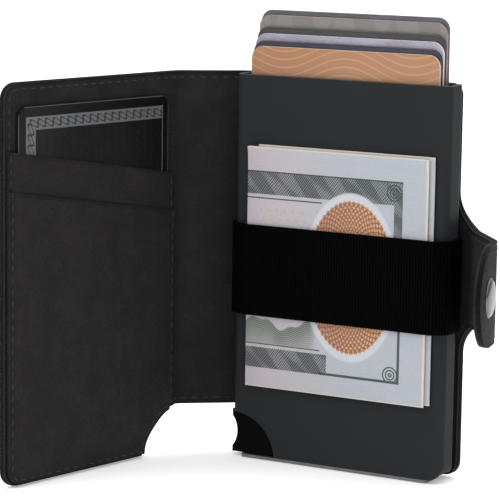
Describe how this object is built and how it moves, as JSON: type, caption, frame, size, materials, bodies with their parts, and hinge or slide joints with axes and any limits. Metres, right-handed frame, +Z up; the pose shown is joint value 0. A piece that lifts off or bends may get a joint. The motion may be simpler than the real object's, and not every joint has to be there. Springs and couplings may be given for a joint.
{
  "type": "card protector wallet",
  "caption": "Slim wallet: an aluminium card case with an ejector lever in a folding leather cover with card pockets, an elastic note band and a snap strap.",
  "frame": {"origin": "middle of the case's base, on the surface that it stands on", "axes": "+X along the case's width towards the strap, -Y out of the case's front face, +Z up along the case's height, towards the card mouth"},
  "size_m": [0.1143, 0.0742, 0.1186],
  "materials": {
    "anodised_case": "satin anthracite anodised aluminium",
    "base_metal": "bare brushed aluminium",
    "black_plastic": "moulded black plastic",
    "steel": "plain steel",
    "felt": "black felt",
    "tape": "foam tape",
    "outer_leather": "black grained leather",
    "lining_leather": "smooth dark leather",
    "elastic": "ribbed black elastic",
    "card_tan": "printed card, tan",
    "card_navy": "printed card, navy",
    "card_lilac": "printed card, lilac",
    "card_slate": "printed card, slate",
    "card_taupe": "printed card, taupe",
    "card_blue_grey": "printed card, blue grey",
    "card_black": "black card with a silver border",
    "note_paper": "printed cotton paper",
    "snap_metal": "polished nickel"
  },
  "bodies": {
    "case": {"case_sleeve": "anodised_case", "base_plate": "base_metal", "base_plug": "black_plastic", "pivot_pin": "steel", "return_spring": "steel", "guide_rail_left": "black_plastic", "guide_rail_right": "black_plastic", "felt_strip_front": "felt", "felt_strip_back": "felt", "back_tape": "tape", "back_lining": "lining_leather", "back_leather": "outer_leather", "elastic_band": "elastic"},
    "lever": {"lever": "black_plastic"},
    "card_1": {"card_1": "card_tan"},
    "card_2": {"card_2": "card_navy"},
    "card_3": {"card_3": "card_lilac"},
    "card_4": {"card_4": "card_slate"},
    "card_5": {"card_5": "card_taupe"},
    "card_6": {"card_6": "card_blue_grey"},
    "spine": {"spine_lining": "lining_leather", "spine_leather": "outer_leather"},
    "flap": {"flap_lining": "lining_leather", "flap_leather": "outer_leather", "rear_pocket": "lining_leather", "front_pocket": "lining_leather", "snap_stud": "snap_metal", "snap_stud_base": "snap_metal"},
    "pocket_card": {"pocket_card": "card_black"},
    "notes": {"banknote_front": "note_paper", "banknote_rear": "note_paper"},
    "strap_bridge": {"bridge_lining": "lining_leather", "bridge_leather": "outer_leather"},
    "strap_tip": {"tip_lining": "lining_leather", "tip_leather": "outer_leather", "snap_cap": "snap_metal", "snap_socket": "snap_metal"}
  },
  "joints": [
    {"name": "cover_fold_back", "type": "hinge", "parent": "case", "child": "spine", "pos_m": [-0.03285, 0.00615, 0.05], "axis": [0, 0, 1], "range_deg": [-36, 53]},
    {"name": "cover_fold_front", "type": "hinge", "parent": "spine", "child": "flap", "pos_m": [-0.04802, -0.00528, 0.05], "axis": [0, 0, 1], "range_deg": [-36, 49.5]},
    {"name": "strap_fold_root", "type": "hinge", "parent": "case", "child": "strap_bridge", "pos_m": [0.03285, 0.00615, 0.0528], "axis": [0, 0, -1], "range_deg": [-48, 40]},
    {"name": "strap_fold_tip", "type": "hinge", "parent": "strap_bridge", "child": "strap_tip", "pos_m": [0.04718, -0.01093, 0.0528], "axis": [0, 0, -1], "range_deg": [-28, 62]},
    {"name": "lever_pivot", "type": "hinge", "parent": "case", "child": "lever", "pos_m": [0.025, 0, 0.0049], "axis": [0, 1, 0], "range_deg": [0, 12.5], "stiffness_Nm_per_rad": 0.02, "springref_deg": -20.05, "deforming": ["return_spring"]},
    {"name": "card_1_slide", "type": "slide", "parent": "case", "child": "card_1", "axis": [0, 0, 1], "range_m": [-0.0094, 0.04]},
    {"name": "card_2_slide", "type": "slide", "parent": "case", "child": "card_2", "axis": [0, 0, 1], "range_m": [-0.0108, 0.04]},
    {"name": "card_3_slide", "type": "slide", "parent": "case", "child": "card_3", "axis": [0, 0, 1], "range_m": [-0.0126, 0.04]},
    {"name": "card_4_slide", "type": "slide", "parent": "case", "child": "card_4", "axis": [0, 0, 1], "range_m": [-0.0143, 0.04]},
    {"name": "card_5_slide", "type": "slide", "parent": "case", "child": "card_5", "axis": [0, 0, 1], "range_m": [-0.0173, 0.04]},
    {"name": "card_6_slide", "type": "slide", "parent": "case", "child": "card_6", "axis": [0, 0, 1], "range_m": [-0.0186, 0.04]},
    {"name": "pocket_card_slide", "type": "slide", "parent": "flap", "child": "pocket_card", "axis": [0, 0, 1], "range_m": [0, 0.045]},
    {"name": "notes_slide", "type": "slide", "parent": "case", "child": "notes", "axis": [0, 0, 1], "range_m": [-0.015, 0.035]}
  ],
  "couplings": [
    {"joint": "cover_fold_front", "follows": "cover_fold_back", "ratio": 0.9245}
  ]
}
